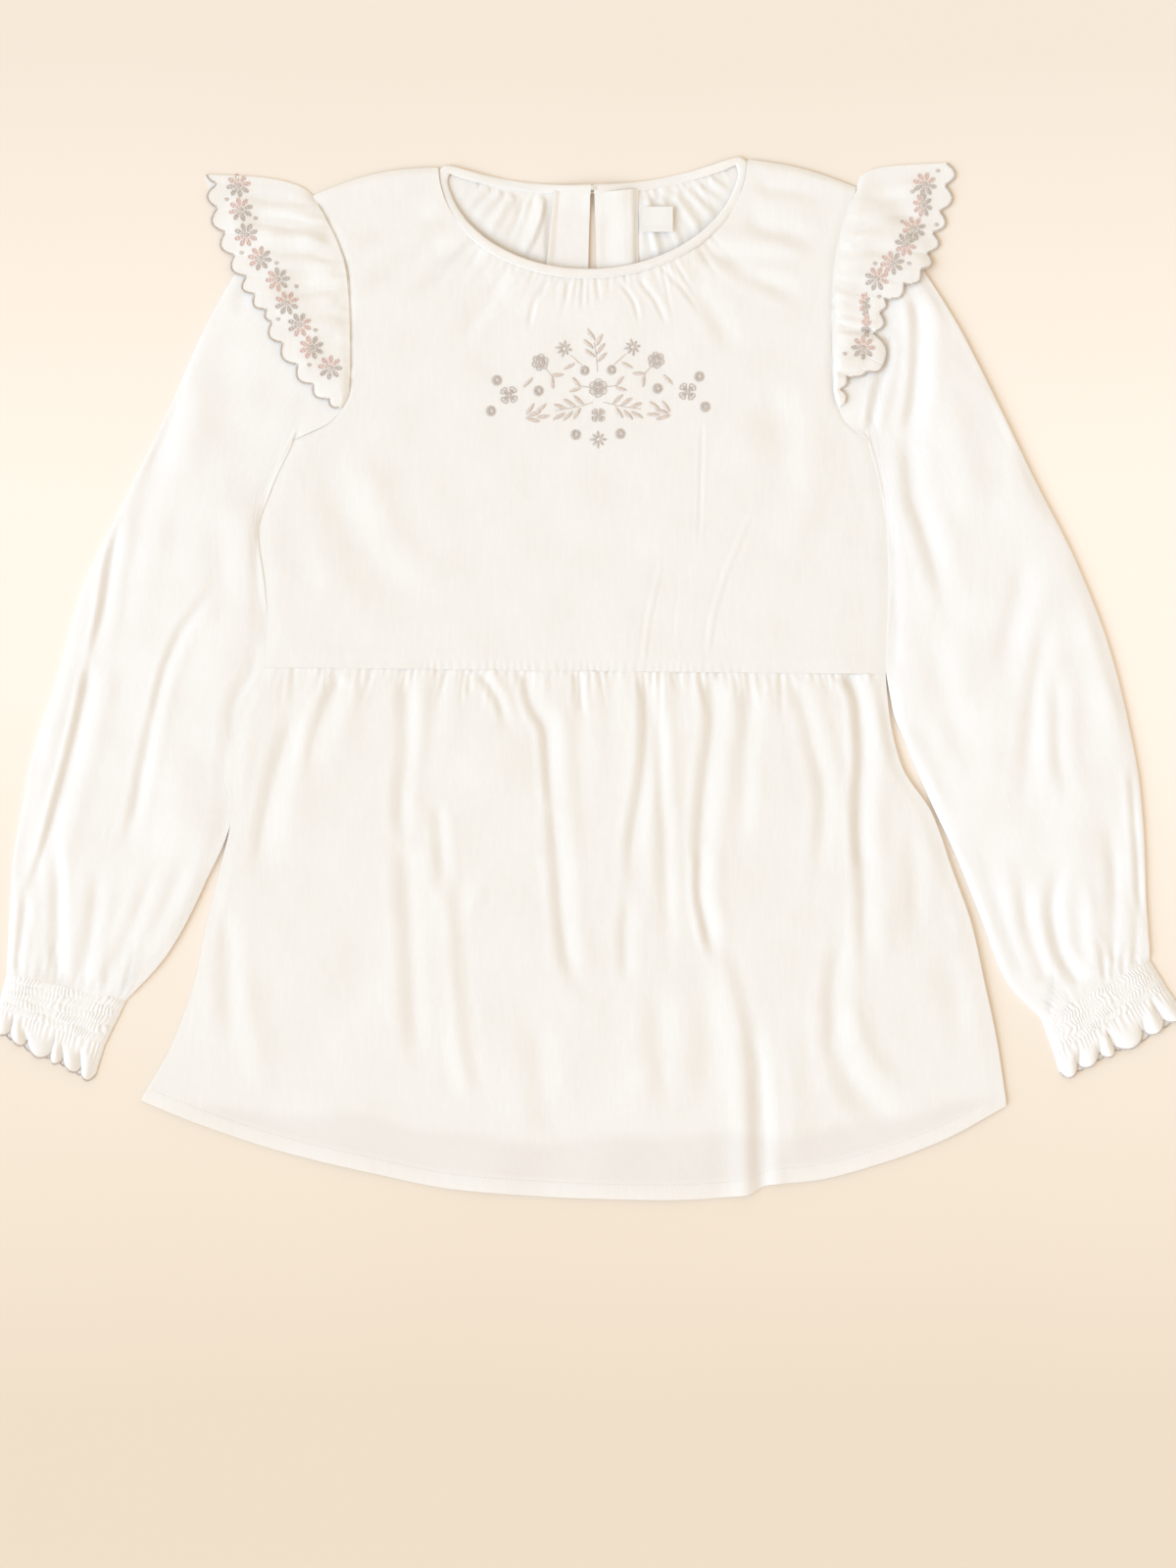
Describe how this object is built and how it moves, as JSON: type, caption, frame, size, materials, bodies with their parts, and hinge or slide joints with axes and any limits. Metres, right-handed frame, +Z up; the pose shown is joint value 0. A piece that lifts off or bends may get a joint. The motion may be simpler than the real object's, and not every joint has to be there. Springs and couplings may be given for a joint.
{
  "type": "nursing blouse",
  "caption": "Long-sleeved cotton nursing blouse laid flat: gathered bound neck with a back slit, ruffled shoulders, empire seam, flared skirt and shirred cuffs.",
  "frame": {"origin": "middle of the footprint of the blouse, on the surface that it lies on", "axes": "+X across the blouse towards the wearer's left, +Y from the hem towards the neck, +Z up from the surface, front of the blouse uppermost"},
  "size_m": [0.8051, 0.6997, 0.0089],
  "materials": {
    "ivory_cotton": "thin ivory plain-weave cotton, matt and slightly see-through",
    "edged_cotton": "the same cotton, its scalloped edge closely stitched in pale taupe thread",
    "label_tape": "smooth white woven tape, bare",
    "button_shell": "polished pearly button",
    "thread": "matt ivory thread loop"
  },
  "bodies": {
    "root": {"front_bodice": "ivory_cotton", "back_bodice": "ivory_cotton", "front_skirt": "ivory_cotton", "back_skirt": "ivory_cotton", "sleeve_right": "ivory_cotton", "sleeve_left": "ivory_cotton", "cuff_right": "ivory_cotton", "cuff_left": "ivory_cotton", "cuff_frill_right": "edged_cotton", "cuff_frill_left": "edged_cotton", "shoulder_ruffle_right": "edged_cotton", "shoulder_ruffle_left": "edged_cotton", "neck_binding": "ivory_cotton", "keyhole_facing": "ivory_cotton", "neck_label": "label_tape", "back_button": "button_shell", "button_loop": "thread"}
  },
  "joints": []
}
